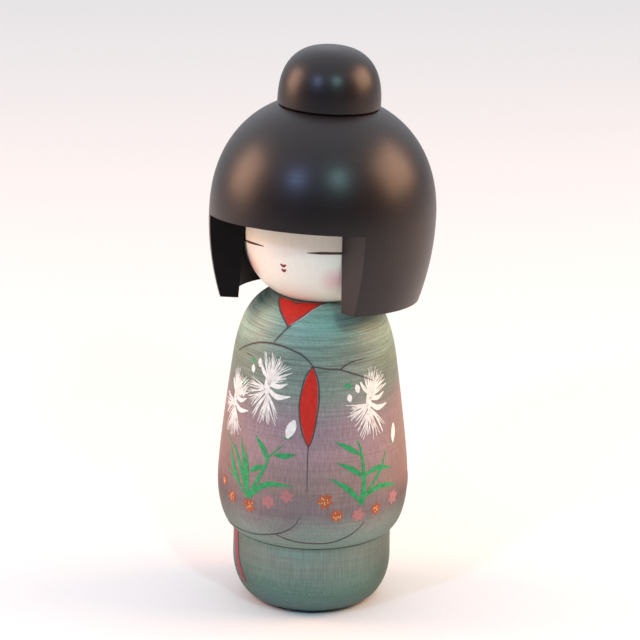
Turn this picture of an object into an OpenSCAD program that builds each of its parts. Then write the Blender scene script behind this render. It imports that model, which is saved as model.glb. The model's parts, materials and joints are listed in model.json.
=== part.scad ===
// Kokeshi doll: a turned wooden body with a swivelling, bob-haired head and a top knot.
// The origin is the centre of the flat bottom, +Z is up and the doll faces -Y.

/* [Body] */
// Height of the body, from the bottom to the seat of the head
body_h = 136; // [110:1:170]
// Radius of the flat that the doll stands on
foot_r = 20.9; // [14:0.5:24]
// Height of the rounded foot
foot_round_h = 19; // [10:0.5:24]
// Fullness of the rounded foot, 2 is elliptical and more is squarer
foot_power = 2.05; // [2:0.05:3]
// Largest radius of the skirt base
base_r = 33.5; // [28:0.2:40]
// Height of the crease where the sleeves end above the skirt
crease_h = 32.6; // [27:0.2:40]
// Depth of the crease, from the largest radius of the skirt
crease_depth = 1.1; // [0.8:0.1:3]
// Height of the turned step on each side of the crease
crease_step = 0.7; // [0.4:0.1:1.2]
// Largest radius of the sleeves
sleeve_r = 40.4; // [35:0.2:48]
// Height of the sleeves' widest line
sleeve_h = 53; // [46:0.5:64]
// Radius where the arms pass into the shoulders
shoulder_r = 34.9; // [29:0.2:42]
// Distance from the seat down to where the arms pass into the shoulders
shoulder_drop = 31; // [24:0.5:40]
// Radius of the flat seat for the head
seat_r = 16.5; // [12:0.5:20]

/* [Face] */
// Largest radius of the head core
face_r = 33.1; // [27:0.1:38]
// Roundness of the head core, 2 is a true ball and more is squarer
face_power = 2.3; // [2:0.05:3]
// Distance that the chin reaches below the hair's lower rim, before it is faced off
chin_drop = 2.5; // [1:0.1:6]
// Gap between the faced-off chin seat and the seat on the body
seat_gap = 0.3; // [0.1:0.05:0.8]

/* [Head set] */
// Angle that the chin is tipped up by
head_tilt = 4.9; // [0:0.1:8]
// Distance from the seat down to where the head's own axis crosses the body's axis
head_pivot_drop = 23.5; // [12:0.5:30]
// Distance from that crossing up to the hair's lower rim
rim_rise = 21.5; // [18:0.1:24]

/* [Hair] */
// Thickness of the hair at its lower rim
rim_wall = 7.3; // [5:0.1:9]
// Distance that the hollow of the hair widens by down to the rim
rim_flare = 1.7; // [0.5:0.1:4]
// Distance from the head core's largest radius out to the hair's
hair_wall = 14.5; // [11:0.1:18]
// Height of the hair's widest line above the head core's
hair_lift = 4.6; // [0:0.1:8]
// Height of the crown dome above the widest line, as if it ran on under the top knot
crown_h = 50.2; // [40:0.2:60]
// Roundness of the crown dome
crown_power = 2.2; // [2:0.02:2.6]
// Gap between the head core and the hollow of the hair
hair_gap = 0.3; // [0.1:0.05:0.8]

/* [Trimmed edges] */
// Angle that the lower rim and the fringe drop by towards the doll's right
trim_roll = 2; // [0:0.1:4]
// Height of the straight fringe above the head core's widest line, measured at the head's axis
fringe_lift = 2.2; // [-6:0.1:6]
// Angle that the fringe rises by towards the front
fringe_rise = 4.3; // [0:0.1:8]
// Distance from the head's axis forward to where the two side cuts would meet
window_apex = 14.1; // [8:0.1:20]
// Angle of each side cut from straight ahead
window_half_angle = 66.7; // [55:0.5:80]

/* [Top knot] */
// Radius of the flat crown seat under the top knot
crown_seat_r = 20.4; // [16:0.2:24]
// Radius of the top knot at its base
knot_r = 21.7; // [16:0.2:26]
// Height of the top knot
knot_h = 24.8; // [16:0.2:30]
// Roundness of the top knot
knot_power = 2.6; // [2:0.1:3.2]
// Radius of the flat on top of the knot
knot_flat_r = 8; // [4:0.5:12]
// Rounding of the knot's lower edge
knot_round = 0.6; // [0.2:0.1:1.5]

/* [Pegs] */
// Radius of the neck peg
neck_peg_r = 7; // [5:0.25:9]
// Depth of the neck peg in the body
neck_peg_in_body = 24; // [16:0.5:30]
// Length of the neck peg inside the head core
neck_peg_in_head = 17; // [12:0.5:20]
// Radius of the crown peg
crown_peg_r = 5; // [3.5:0.25:7]
// Depth of the crown peg in the head core
crown_peg_in_face = 14; // [8:0.5:18]
// Depth of the crown peg in the top knot
crown_peg_in_knot = 13; // [8:0.5:16]
// Running clearance of the neck peg in the head, on the radius
run_clear = 0.05; // [0.02:0.01:0.1]
// Interference of a peg that is driven in hard, on the radius
drive_fit = 0.02; // [0:0.01:0.03]
// Room left beyond the end of a peg in its hole
peg_room = 1; // [0.5:0.1:2]
// Bevel on the ends of the pegs
peg_bevel = 0.8; // [0.4:0.1:1.2]

/* [Hidden] */
$fn = 96;
// Number of steps along a long curve of a profile
curve_steps = 14;
// Overshoot of a cutting solid past the face that it opens
over = 1;
// Half the width of a cutting solid that is wider than the head
wide = 90;
// Pulls at the two ends of the arm curve, as shares of the arms' rise
arm_pull_low = 0.2;
arm_pull_top = 0.33;
// Fullness of the arms where they pass into the shoulders, against a straight slope
arm_fullness = 1.25;
// Pulls of the shoulder curve, as shares of the shoulders' rise and of their run to the seat
shoulder_pull_low = 0.43;
shoulder_pull_run = 0.71;
shoulder_pull_top = 0.05;
// Bottom of the crease, and the height where the arms pass into the shoulders
crease_r = base_r - crease_depth;
shoulder_h = body_h - shoulder_drop;
// Widest line and top of the head core, above the rim
face_h = face_r - chin_drop;
face_top = face_h + face_r;
// Widest line and radii of the hair, and the height of the fringe, above the rim
hair_r = face_r + hair_wall;
hair_h = face_h + hair_lift;
rim_bore_r = face_r + rim_flare;
rim_r = rim_bore_r + rim_wall;
fringe_h = face_h + fringe_lift;
// Length of hair turned below the rim, which the trimming takes off
hem = over + hair_r * tan(trim_roll);
// Sweep of the crown dome, and the crown seat that ends it, above the rim
dome_angle = angle_at_r(hair_r, crown_seat_r, crown_power);
knot_seat = hair_h + crown_h * pow(sin(dome_angle), 2 / crown_power);
// Lower end of the neck peg
neck_peg_low = body_h - neck_peg_in_body;
// Lower end and length of the crown peg, above the rim
crown_peg_low = face_top - crown_peg_in_face;
crown_peg_length = knot_seat + crown_peg_in_knot - crown_peg_low;

// Points on a cubic curve from a to d that leaves towards b and arrives from c
function curve(a, b, c, d, n = curve_steps) = [
    for (i = [0 : n])
        let (t = i / n, s = 1 - t)
        s * s * s * a + 3 * s * s * t * b + 3 * s * t * t * c + t * t * t * d
];

// Points on a rounded quarter of half-width a and height b about [0, h], from angle p to q
function rounded(a, b, h, power, p, q, n = curve_steps) = [
    for (i = [0 : n])
        let (g = p + (q - p) * i / n, c = max(cos(g), 0), s = sin(g))
        [a * pow(c, 2 / power), h + sign(s) * b * pow(abs(s), 2 / power)]
];

// Angle at which that rounded quarter reaches the radius r
function angle_at_r(a, r, power) = acos(pow(r / a, power / 2));

// Outline of the body, from the bottom centre round to the centre of the seat
function body_outline() = concat(
    [[0, 0]],
    // rounded foot
    [for (p = rounded(base_r - foot_r, foot_round_h, foot_round_h, foot_power, -90, 0)) p + [foot_r, 0]],
    // crease between skirt and sleeves
    [[crease_r + crease_step, crease_h - crease_step], [crease_r, crease_h]],
    // underside of the sleeves
    [for (i = [1 : curve_steps])
        let (g = -90 + 90 * i / curve_steps, room = sleeve_h - crease_h)
        [crease_r + (sleeve_r - crease_r) * cos(g), sleeve_h + room * sin(g)]],
    // arms
    [for (i = [1 : curve_steps]) arms_curve()[i]],
    // shoulders
    [for (i = [1 : curve_steps]) shoulder_curve()[i]],
    [[0, body_h]]
);

// How fast the arms draw in at the top, as radius per height
arm_slope = arm_fullness * (sleeve_r - shoulder_r) / (shoulder_h - sleeve_h);

function arms_curve() =
    let (rise = shoulder_h - sleeve_h)
    curve([sleeve_r, sleeve_h],
          [sleeve_r, sleeve_h + arm_pull_low * rise],
          [shoulder_r + arm_slope * arm_pull_top * rise, shoulder_h - arm_pull_top * rise],
          [shoulder_r, shoulder_h]);

function shoulder_curve() =
    let (rise = body_h - shoulder_h, run = shoulder_r - seat_r)
    curve([shoulder_r, shoulder_h],
          [shoulder_r - arm_slope * shoulder_pull_low * rise, shoulder_h + shoulder_pull_low * rise],
          [seat_r + shoulder_pull_run * run, body_h - shoulder_pull_top * rise],
          [seat_r, body_h]);

// Half-outline of the head core; more than 0 for grow gives the hollow around it
function face_quarter(grow, p, q) =
    rounded(face_r + grow, face_r + grow, face_h, face_power, p, q);

// Outer side of the hair, from below the rim up to its widest line
function hair_side() = [
    for (i = [0 : curve_steps])
        let (h = -hem + (hair_h + hem) * i / curve_steps, t = 1 - h / hair_h)
        [hair_r - (hair_r - rim_r) * t * t, h]
];

// Crown dome up to the seat of the top knot
function hair_dome() =
    rounded(hair_r, crown_h, hair_h, crown_power, 0, dome_angle);

// A peg standing on zero with both ends bevelled; its root and its tip can differ in radius
module peg(root_r, root_length, tip_r, length) {
    rotate_extrude() polygon([
        [0, 0], [root_r - peg_bevel, 0], [root_r, peg_bevel], [root_r, root_length],
        [tip_r, root_length], [tip_r, length - peg_bevel], [tip_r - peg_bevel, length], [0, length]
    ]);
}

// Places what is drawn about the head's own axis, with the hair's lower rim at zero
module head_set() {
    translate([0, 0, body_h - head_pivot_drop]) rotate([-head_tilt, 0, 0])
        translate([0, 0, rim_rise]) children();
}

// One turned block: foot, skirt, crease, sleeves, shoulders and the blind hole for the neck peg
module body() {
    color("#7f9a8c") difference() {
        rotate_extrude() polygon(body_outline());
        translate([0, 0, neck_peg_low - peg_room])
            cylinder(r = neck_peg_r, h = neck_peg_in_body + peg_room + over);
    }
}

// Hard in the body, running in the head
module neck_peg() {
    color("#d9bd8c") translate([0, 0, neck_peg_low])
        peg(neck_peg_r + drive_fit, neck_peg_in_body, neck_peg_r, neck_peg_in_body + neck_peg_in_head);
}

// Head core: a turned ball, faced off square at the chin and drilled for both pegs
module face() {
    color("#f3ead8") difference() {
        head_set() rotate_extrude() polygon(face_quarter(0, -90, 90));
        translate([-wide, -wide, body_h + seat_gap - wide]) cube([2 * wide, 2 * wide, wide]);
        translate([0, 0, body_h - over])
            cylinder(r = neck_peg_r + run_clear, h = neck_peg_in_head + peg_room + over);
        head_set() translate([0, 0, face_top - crown_peg_in_face - peg_room])
            cylinder(r = crown_peg_r, h = crown_peg_in_face + peg_room + over);
    }
}

// Hollow bob: turned inside and out, then its rim is trimmed and the window is cut up to the fringe
module hair() {
    color("#2a1a1c") head_set() difference() {
        rotate_extrude() polygon(concat(
            hair_side(),
            [for (i = [1 : curve_steps]) hair_dome()[i]],
            [[crown_peg_r, knot_seat]],
            // hollow, from the peg hole down over the head core to the rim
            [for (p = face_quarter(hair_gap, 90, 0)) if (p[0] > crown_peg_r) p],
            [[rim_bore_r, -hem]]
        ));
        rotate([0, -trim_roll, 0]) {
            translate([-wide, -wide, -wide]) cube([2 * wide, 2 * wide, wide]);
            face_window();
        }
    }
}

// The space that the side cuts and the fringe cut take out of the hair
module face_window() {
    side = wide / tan(window_half_angle);
    difference() {
        translate([0, 0, -over]) linear_extrude(height = wide) polygon([
            [0, -window_apex], [wide, -window_apex - side], [wide, -wide],
            [-wide, -wide], [-wide, -window_apex - side]
        ]);
        translate([0, 0, fringe_h]) rotate([-fringe_rise, 0, 0])
            translate([-2 * wide, -2 * wide, 0]) cube([4 * wide, 4 * wide, wide]);
    }
}

// Pins the hair to the head core and carries the top knot
module crown_peg() {
    r = crown_peg_r + drive_fit;
    color("#d9bd8c") head_set() translate([0, 0, crown_peg_low])
        peg(r, crown_peg_length / 2, r, crown_peg_length);
}

// Top knot, with its flat seat and blind hole
module bun() {
    start = angle_at_r(knot_r, knot_flat_r, knot_power);
    // height that the rounding would reach if it were not flattened on top
    full_h = knot_h / pow(sin(start), 2 / knot_power);
    color("#2e1d1f") head_set() translate([0, 0, knot_seat]) difference() {
        rotate_extrude() polygon(concat(
            [[0, 0], [knot_r - knot_round, 0]],
            [for (p = rounded(knot_r, full_h, 0, knot_power, 0, start)) if (p[1] > knot_round) p],
            [[0, knot_h]]
        ));
        translate([0, 0, -over])
            cylinder(r = crown_peg_r, h = crown_peg_in_knot + peg_room + over);
    }
}

body();
neck_peg();
face();
hair();
crown_peg();
bun();
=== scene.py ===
# %% [markdown]
# # A turned wooden doll with a swivelling head
# This file builds the finished look of a small doll: a kimono body, a bobbed head and a top knot, all
# turned on a lathe from blocks of wood, dyed, lacquered and then painted with a fine brush.
# The frame that is loaded first holds the plain CAD solids. They give every size and the place of the
# swivel, and the finished pieces made here stand exactly where they do.

# %% Load the frame
import bpy
import json
import math
import random
import numpy as np
from mathutils import Matrix, Vector

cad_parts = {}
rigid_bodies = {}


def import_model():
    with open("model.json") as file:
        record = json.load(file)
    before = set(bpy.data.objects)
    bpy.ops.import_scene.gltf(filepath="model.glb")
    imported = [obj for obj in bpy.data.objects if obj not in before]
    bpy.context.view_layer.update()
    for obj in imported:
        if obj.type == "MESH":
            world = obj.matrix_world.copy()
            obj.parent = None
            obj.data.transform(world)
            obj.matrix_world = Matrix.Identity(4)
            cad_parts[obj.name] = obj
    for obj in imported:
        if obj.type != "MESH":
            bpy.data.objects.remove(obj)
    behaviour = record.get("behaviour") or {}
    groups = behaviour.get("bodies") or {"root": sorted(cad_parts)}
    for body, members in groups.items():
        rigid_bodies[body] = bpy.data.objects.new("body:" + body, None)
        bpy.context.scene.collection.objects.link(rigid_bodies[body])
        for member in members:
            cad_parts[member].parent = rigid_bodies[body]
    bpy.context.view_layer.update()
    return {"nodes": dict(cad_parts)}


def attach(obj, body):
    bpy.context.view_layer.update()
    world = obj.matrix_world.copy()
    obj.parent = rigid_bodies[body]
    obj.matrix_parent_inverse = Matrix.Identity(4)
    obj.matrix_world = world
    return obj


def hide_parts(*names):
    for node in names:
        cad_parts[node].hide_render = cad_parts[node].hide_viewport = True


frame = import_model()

MM = 0.001
print("CAD nodes:", sorted(frame["nodes"]))

# %% [markdown]
# ## The camera
# A long lens far away keeps the doll's upright sides nearly parallel, as in a catalogue picture.
# It looks down a little and from the doll's left, so that the front, one sleeve and the rim of the hair
# all show.

# %% Camera
AROUND = math.radians(28.5)
DOWN = math.radians(18.9)
ROLL = math.radians(0.99)
DISTANCE = 2.022
AIM_H = 0.1213  # height of the point on the doll's axis that the lens is turned towards
AIM_RIGHT, AIM_UP = 0.00202, 0.00156  # how far the lens looks past that point, across and up the picture

camera_back = Vector((math.sin(AROUND) * math.cos(DOWN), -math.cos(AROUND) * math.cos(DOWN),
                      math.sin(DOWN)))
level_right = Vector((math.cos(AROUND), math.sin(AROUND), 0))
level_up = camera_back.cross(level_right)
camera_right = level_right * math.cos(ROLL) + level_up * math.sin(ROLL)
camera_up = level_up * math.cos(ROLL) - level_right * math.sin(ROLL)
aim = Vector((0, 0, AIM_H)) + camera_right * AIM_RIGHT + camera_up * AIM_UP

camera = bpy.data.objects.new("camera", bpy.data.cameras.new("camera"))
bpy.context.collection.objects.link(camera)
placed = Matrix((camera_right, camera_up, camera_back)).transposed().to_4x4()
placed.translation = aim + camera_back * DISTANCE
camera.matrix_world = placed
camera.data.lens = 270
camera.data.sensor_width = 36
camera.data.clip_end = 20
bpy.context.scene.camera = camera
print("camera at", [round(v, 3) for v in placed.translation])

# %% [markdown]
# ## Helpers for modelling
# Operators act on whatever is selected, so each step starts by choosing its object and nothing else.

# %% Selecting, and adding a node
def only(*objects):
    """Selects these objects and nothing else; the first is the active one."""
    for other in bpy.context.view_layer.objects:
        other.select_set(False)
    for chosen in objects:
        chosen.select_set(True)
    bpy.context.view_layer.objects.active = objects[0] if objects else None


def apply_modifier(piece, kind, **settings):
    """Adds a modifier with its settings and applies it."""
    modifier = piece.modifiers.new(kind.lower(), kind)
    for name, value in settings.items():
        setattr(modifier, name, value)
    only(piece)
    bpy.ops.object.modifier_apply(modifier=modifier.name)


def linear(hex_colour):
    """Turns an sRGB hex colour to the linear values that a shader takes."""
    channels = [int(hex_colour[i:i + 2], 16) / 255 for i in (1, 3, 5)]
    return [c / 12.92 if c <= 0.04045 else ((c + 0.055) / 1.055) ** 2.4 for c in channels] + [1.0]


def feed(tree, node, links):
    """Feeds the inputs of a node: a socket given in links is joined on, a plain value is set."""
    for name, value in links.items():
        if isinstance(value, bpy.types.NodeSocket):
            tree.links.new(value, node.inputs[name])
        else:
            node.inputs[name].default_value = value


def add(tree, kind, links, **settings):
    """Adds a shader node with its settings, and feeds its inputs."""
    made = tree.nodes.new("ShaderNode" + kind)
    for name, value in settings.items():
        setattr(made, name, value)
    feed(tree, made, links)
    return made


def new_material(name):
    """Makes an empty material and gives back its node tree and its finished shader."""
    material = bpy.data.materials.new(name)
    material.use_nodes = True
    tree = material.node_tree
    return material, tree, tree.nodes["Principled BSDF"]


print("helpers ready")

# %% [markdown]
# ## The studio
# A pale floor and a pale sky, brightest overhead and behind, give the even light of a white cove. Two warm
# soft boxes stand at the sides and a little behind, and two small cool lamps hang in front and overhead. On
# satin lacquer each of them draws its own soft patch, which is what shows that the hair is round and
# polished.

# %% Floor
only()
bpy.ops.mesh.primitive_plane_add(size=12, location=(0, 0, 0))
floor = bpy.context.object
floor.name = "studio_floor"
pale_paper, tree, shader = new_material("pale matt paper")
paper_place = add(tree, "TexCoord", {}).outputs["Object"]
# fibres of the paper, about 2 mm long
paper_fibre = add(tree, "TexNoise", {"Vector": paper_place, "Scale": 500.0, "Detail": 2.0})
paper_colour = add(tree, "ValToRGB", {"Fac": paper_fibre.outputs["Fac"]})
paper_colour.color_ramp.elements[0].color = linear("#d8d8d6")
paper_colour.color_ramp.elements[1].color = linear("#dededc")
feed(tree, shader, {"Base Color": paper_colour.outputs["Color"], "Roughness": 0.9, "Specular IOR Level": 0.1})
floor.data.materials.append(pale_paper)
print("floor laid")

# %% Lights
bpy.context.scene.view_settings.view_transform = "Standard"
sky = bpy.data.worlds.new("pale sky")
sky.use_nodes = True
bpy.context.scene.world = sky
DOLL_MIDDLE = Vector((0, 0, 0.13))
level_away = Vector((-math.sin(AROUND), math.cos(AROUND), 0))
# The cove is bright overhead and behind, and dim where the dark of the room stands in front.
tree = sky.node_tree
look = add(tree, "TexCoord", {})
brightest = (level_away * 0.45 - level_right * 0.1 + Vector((0, 0, 0.88))).normalized()
facing = add(tree, "VectorMath", {0: look.outputs["Generated"], 1: tuple(brightest)},
             operation="DOT_PRODUCT")
glow = add(tree, "MapRange", {"Value": facing.outputs["Value"], "From Min": -0.24, "From Max": 1.0,
                              "To Min": 0.03, "To Max": 1.55}, interpolation_type="SMOOTHSTEP")
feed(tree, tree.nodes["Background"], {"Strength": glow.outputs["Result"], "Color": linear("#e4ebf4")})


def soft_box(name, towards, distance, width, height, power, colour):
    """A rectangular light that looks at the doll; towards is (right, away, up) as the camera sees it."""
    direction = level_right * towards[0] + level_away * towards[1] + Vector((0, 0, towards[2]))
    lamp = bpy.data.lights.new(name, "AREA")
    lamp.shape = "RECTANGLE"
    lamp.size = width
    lamp.size_y = height
    lamp.energy = power
    lamp.color = linear(colour)[:3]
    holder = bpy.data.objects.new(name, lamp)
    bpy.context.collection.objects.link(holder)
    holder.location = DOLL_MIDDLE + direction.normalized() * distance
    holder.rotation_euler = direction.to_track_quat("Z", "Y").to_euler()


soft_box("left_soft_box", (-0.94, 0.12, 0.38), 0.9, 0.46, 0.5, 6.8, "#ffc6a2")
soft_box("right_soft_box", (0.885, 0.05, 0.475), 0.9, 0.62, 0.5, 9.4, "#ffc6a0")
soft_box("blue_lamp", (-0.43, -0.654, 0.622), 1.0, 0.07, 0.07, 2.4, "#a4c0ff")
soft_box("green_lamp", (0.243, -0.711, 0.66), 1.0, 0.07, 0.07, 2.4, "#b4ecf0")
print("lights hung")

# %% [markdown]
# ## Profiles
# A turned piece is its half-outline carried once round the lathe's axis. These are the outlines that the
# CAD was drawn from, in millimetres, with many more points so that they are smooth to the eye.

# %% Sizes
BODY_H, FOOT_R, FOOT_H, FOOT_POWER, BASE_R = 136, 20.9, 19, 2.05, 33.5
CREASE_H, CREASE_R, CREASE_STEP = 32.6, 32.9, 0.5
SLEEVE_R, SLEEVE_H, SHOULDER_R, SHOULDER_H, SEAT_R = 40.4, 53, 34.9, 105, 16.5
FACE_R, FACE_POWER, FACE_H, SEAT_GAP = 33.1, 2.3, 30.6, 0.3
TILT, PIVOT_H, RIM_RISE = 4.9, 112.5, 21.5
RIM_R, RIM_BORE_R, HAIR_R, HAIR_H = 42.1, 34.8, 47.6, 35.2
CROWN_H, CROWN_POWER, CROWN_SEAT_R, HAIR_GAP = 50.2, 2.2, 20.4, 0.3
TRIM_ROLL, FRINGE_H, FRINGE_RISE, WINDOW_APEX, WINDOW_ANGLE = 2, 32.8, 4.3, 14.1, 66.7
KNOT_R, KNOT_H, KNOT_POWER = 21.7, 24.8, 2.6
NECK_PEG_R, NECK_PEG_LOW, RUN_CLEAR = 7, 112, 0.05
CROWN_PEG_R, CROWN_PEG_IN_FACE, CROWN_PEG_IN_KNOT, PEG_ROOM = 5, 14, 13, 1
NECK_HOLE_TOP = 154
# How full the sides are: the shares of the rise or width at which the handles of their curves lie.
ARM_PULL_LOW, ARM_PULL_TOP, ARM_FULLNESS = 0.2, 0.33, 1.25
SHOULDER_PULL_LOW, SHOULDER_PULL_RUN, SHOULDER_PULL_TOP = 0.43, 0.71, 0.05

# The head leans back: its own axis crosses the body's axis at PIVOT_H.
HEAD = (Matrix.Translation((0, 0, PIVOT_H * MM)) @ Matrix.Rotation(math.radians(-TILT), 4, "X")
        @ Matrix.Translation((0, 0, RIM_RISE * MM)))


# %% Curves for the profiles
def quarter(a, b, power, start, end, steps):
    """Points on a squarish ellipse of half-width a and half-height b, between two angles in degrees."""
    points = []
    for i in range(steps + 1):
        g = math.radians(start + (end - start) * i / steps)
        c, s = max(math.cos(g), 0.0), math.sin(g)
        points.append((a * c ** (2 / power), math.copysign(b * abs(s) ** (2 / power), s)))
    return points


def bezier(a, b, c, d, steps):
    """Points on a curve from a to d that leaves towards b and arrives from c."""
    points = []
    for i in range(steps + 1):
        t = i / steps
        s = 1 - t
        points.append(tuple(s ** 3 * a[k] + 3 * s * s * t * b[k] + 3 * s * t * t * c[k] + t ** 3 * d[k]
                            for k in (0, 1)))
    return points


arm_rise = SHOULDER_H - SLEEVE_H
arm_slope = ARM_FULLNESS * (SLEEVE_R - SHOULDER_R) / arm_rise
cap_rise = BODY_H - SHOULDER_H
foot = [(FOOT_R + r, FOOT_H + z) for r, z in quarter(BASE_R - FOOT_R, FOOT_H, FOOT_POWER, -90, 0, 24)]
crease = [(CREASE_R + CREASE_STEP, CREASE_H - CREASE_STEP), (CREASE_R, CREASE_H)]
under_sleeve = [(CREASE_R + (SLEEVE_R - CREASE_R) * math.cos(math.radians(g)),
                 SLEEVE_H + (SLEEVE_H - CREASE_H) * math.sin(math.radians(g)))
                for g in np.linspace(-90, 0, 31)]
arms = bezier((SLEEVE_R, SLEEVE_H), (SLEEVE_R, SLEEVE_H + ARM_PULL_LOW * arm_rise),
              (SHOULDER_R + arm_slope * ARM_PULL_TOP * arm_rise, SHOULDER_H - ARM_PULL_TOP * arm_rise),
              (SHOULDER_R, SHOULDER_H), 40)
shoulders = bezier((SHOULDER_R, SHOULDER_H),
                   (SHOULDER_R - arm_slope * SHOULDER_PULL_LOW * cap_rise,
                    SHOULDER_H + SHOULDER_PULL_LOW * cap_rise),
                   (SEAT_R + SHOULDER_PULL_RUN * (SHOULDER_R - SEAT_R),
                    BODY_H - SHOULDER_PULL_TOP * cap_rise),
                   (SEAT_R, BODY_H), 40)
body_side = foot + crease + under_sleeve[1:] + arms[1:] + shoulders[1:]
side_r = np.array([p[0] for p in body_side])
side_z = np.array([p[1] for p in body_side])
# Length along the outline, from the bottom flat's edge to the seat's edge. Places on the body are
# given by it, because near the neck the shoulder is almost level and height says too little.
side_s = np.concatenate([[0], np.cumsum(np.hypot(np.diff(side_r), np.diff(side_z)))])
print("outline of the body: %d points, %.1f mm long" % (len(body_side), side_s[-1]))

# %% [markdown]
# ## Turning a piece
# The outline is drawn as a wire in the plane through the axis and spun once round, as the wood turns
# against the gouge. The ends of the spin meet, so the doubled points are merged and the normals are
# recalculated to face outwards.

# %% Spinning an outline
def turned(name, outline, steps=144):
    """Spins a closed half-outline, given in millimetres as (radius, height), about the Z axis."""
    only()
    bpy.ops.mesh.primitive_circle_add(vertices=len(outline), radius=1)
    piece = bpy.context.object
    piece.name = name
    for vertex, (r, z) in zip(piece.data.vertices, outline):
        vertex.co = (r * MM, 0, z * MM)
    bpy.ops.object.mode_set(mode="EDIT")
    bpy.ops.mesh.select_all(action="SELECT")
    bpy.ops.mesh.spin(steps=steps, angle=math.tau, center=(0, 0, 0), axis=(0, 0, 1))
    bpy.ops.mesh.select_all(action="SELECT")
    bpy.ops.mesh.remove_doubles(threshold=2e-6)
    bpy.ops.mesh.delete_loose()
    bpy.ops.mesh.select_all(action="SELECT")
    bpy.ops.mesh.normals_make_consistent(inside=False)
    bpy.ops.object.mode_set(mode="OBJECT")
    return piece


def cut_away(piece, cutter):
    """Takes the cutter's space out of the piece and removes the cutter."""
    apply_modifier(piece, "BOOLEAN", operation="DIFFERENCE", solver="EXACT", object=cutter)
    bpy.data.objects.remove(cutter)


def finish_piece(piece, material, body, nodes=(), angle=35):
    """Gives a piece its finish, its body and the solids that it stands for."""
    piece.data.materials.clear()
    piece.data.materials.append(material)
    only(piece)
    bpy.ops.object.shade_smooth_by_angle(angle=math.radians(angle))
    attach(piece, body)
    if nodes:
        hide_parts(*nodes)
    triangles = sum(len(face.vertices) - 2 for face in piece.data.polygons)
    print("%s: %d triangles" % (piece.name, triangles))


print("spinning outline ready")

# %% [markdown]
# ## The finish of the body: dyed and turned wood
# The block is pale close-grained wood, turned, dyed in bands that run into each other, and sealed with a
# thin dull wax. The dye shows the upright fibres and the fine rings that the gouge leaves, so the colour
# has both an upright and a level streak, and the surface is dull with a faint sheen. Away from the front the
# colour turns to a second column: painted shade down the sides, and a painted highlight on the shoulders'
# sides.

# %% Dyed wood
dyed_wood_with_side_shade, tree, shader = new_material("dyed and turned wood, waxed, with painted side shade")
place = add(tree, "TexCoord", {}).outputs["Object"]
# upright fibres: 0.45 mm wide and about 9 mm long
fibre_map = add(tree, "Mapping", {"Vector": place, "Scale": (2200, 2200, 110)})
fibre = add(tree, "TexNoise", {"Vector": fibre_map.outputs["Vector"], "Scale": 1.0, "Detail": 3.0})
# rings of the gouge: 1 mm apart with finer ones between, fading in and out every 25 mm of the way round
ring_map = add(tree, "Mapping", {"Vector": place, "Scale": (40, 40, 1050)})
ring = add(tree, "TexNoise", {"Vector": ring_map.outputs["Vector"], "Scale": 1.0, "Detail": 5.0})
# cloudy take-up of the dye, 25 mm across
cloud = add(tree, "TexNoise", {"Vector": place, "Scale": 40.0, "Detail": 3.0})
height = add(tree, "SeparateXYZ", {"Vector": place})
cloud_shift = add(tree, "MapRange", {"Value": cloud.outputs["Fac"], "From Min": 0.3, "From Max": 0.7,
                                     "To Min": -0.004, "To Max": 0.004})
shifted = add(tree, "Math", {0: height.outputs["Z"], 1: cloud_shift.outputs["Result"]}, operation="ADD")
share = add(tree, "Math", {0: shifted.outputs["Value"], 1: BODY_H * MM}, operation="DIVIDE")
DYE_AND_SIDE_SHADE_BANDS = [  # height in millimetres, colour in front, colour at the sides and back; the side colour is painted shade, and on the shoulders (124 mm) a painted highlight
    (2, "#5a7777", "#42564c"),
    (14, "#5c7c71", "#3f5245"),
    (26, "#7a877e", "#58625b"),
    (33, "#788f86", "#57695e"),
    (42, "#838c84", "#525952"),
    (50, "#7c6f71", "#58423c"),
    (60, "#897771", "#855f5a"),
    (76, "#9b8184", "#887165"),
    (90, "#917e84", "#8d746f"),
    (102, "#79887d", "#656f63"),
    (112, "#6d7d72", "#6b7b63"),
    (124, "#6f8c7f", "#91ad96"),
    (135, "#7caf9e", "#6c7c6d"),
]
front_and_side_colours = []
for column in (1, 2):
    band_ramp = add(tree, "ValToRGB", {"Fac": share.outputs["Value"]})
    while len(band_ramp.color_ramp.elements) < len(DYE_AND_SIDE_SHADE_BANDS):
        band_ramp.color_ramp.elements.new(0.5)
    for element, band in zip(band_ramp.color_ramp.elements, DYE_AND_SIDE_SHADE_BANDS):
        element.position = band[0] / BODY_H
        element.color = linear(band[column])
    front_and_side_colours.append(band_ramp.outputs["Color"])
# the robe's front is where its sleeves meet; away from there the colour turns to the side column, which is
# painted shade and a painted highlight for how the side light falls
ROBE_FRONT = math.radians(28)
front_way = (math.sin(ROBE_FRONT), -math.cos(ROBE_FRONT), 0)
frontwards = add(tree, "VectorMath", {0: place, 1: front_way}, operation="DOT_PRODUCT")
side_shade_share = add(tree, "MapRange", {"Value": frontwards.outputs["Value"], "From Min": 0.031, "From Max": 0.009,
                                 "To Min": 0.0, "To Max": 1.0}, interpolation_type="SMOOTHSTEP")
dye_with_side_shade = add(tree, "Mix", {"Factor": side_shade_share.outputs["Result"], 6: front_and_side_colours[0], 7: front_and_side_colours[1]}, data_type="RGBA")
fibre_tone = add(tree, "MapRange", {"Value": fibre.outputs["Fac"], "From Min": 0.3, "From Max": 0.7,
                                    "To Min": 0.82, "To Max": 1.16})
ring_tone = add(tree, "MapRange", {"Value": ring.outputs["Fac"], "From Min": 0.36, "From Max": 0.64,
                                   "To Min": 0.72, "To Max": 1.22})
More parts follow.
